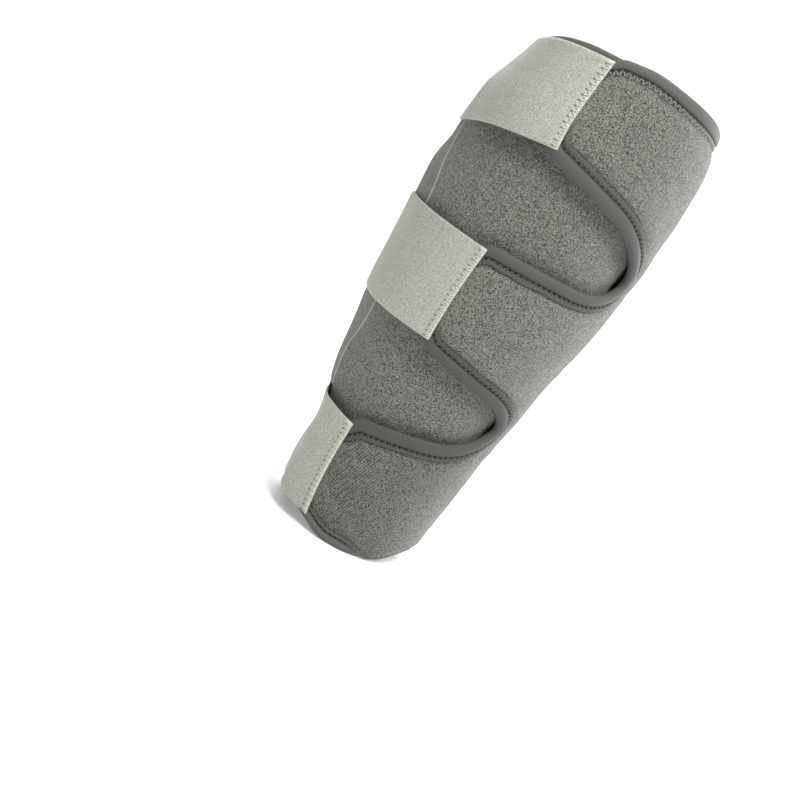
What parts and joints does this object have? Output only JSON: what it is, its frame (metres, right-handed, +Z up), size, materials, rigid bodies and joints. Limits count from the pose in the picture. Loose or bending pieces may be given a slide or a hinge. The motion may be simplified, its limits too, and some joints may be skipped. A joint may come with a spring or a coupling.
{
  "type": "adjustable leg support",
  "caption": "Grey padded lower-leg wrap with taped edges, two rounded notches and three hook tabs closed over the calf, standing open-ended on its lower rim.",
  "frame": {"origin": "middle of the bounding box, on the floor under the lower rim", "axes": "+Z up the leg, +X towards the shin, -Y towards the outer side of a right leg, where the tabs close"},
  "size_m": [0.1295, 0.119, 0.29],
  "materials": {
    "loop_sheet": "matte heather loop cloth over a padded core",
    "edge_tape": "smooth matte folded tape",
    "hook_tab": "matte woven face"
  },
  "bodies": {
    "root": {"body_wrap": "loop_sheet", "binding_top": "edge_tape", "binding_bottom": "edge_tape", "binding_upper_notch": "edge_tape", "binding_lower_notch": "edge_tape", "binding_inner_edge": "edge_tape", "tab_top": "hook_tab", "tab_middle": "hook_tab", "tab_bottom": "hook_tab"}
  },
  "joints": []
}
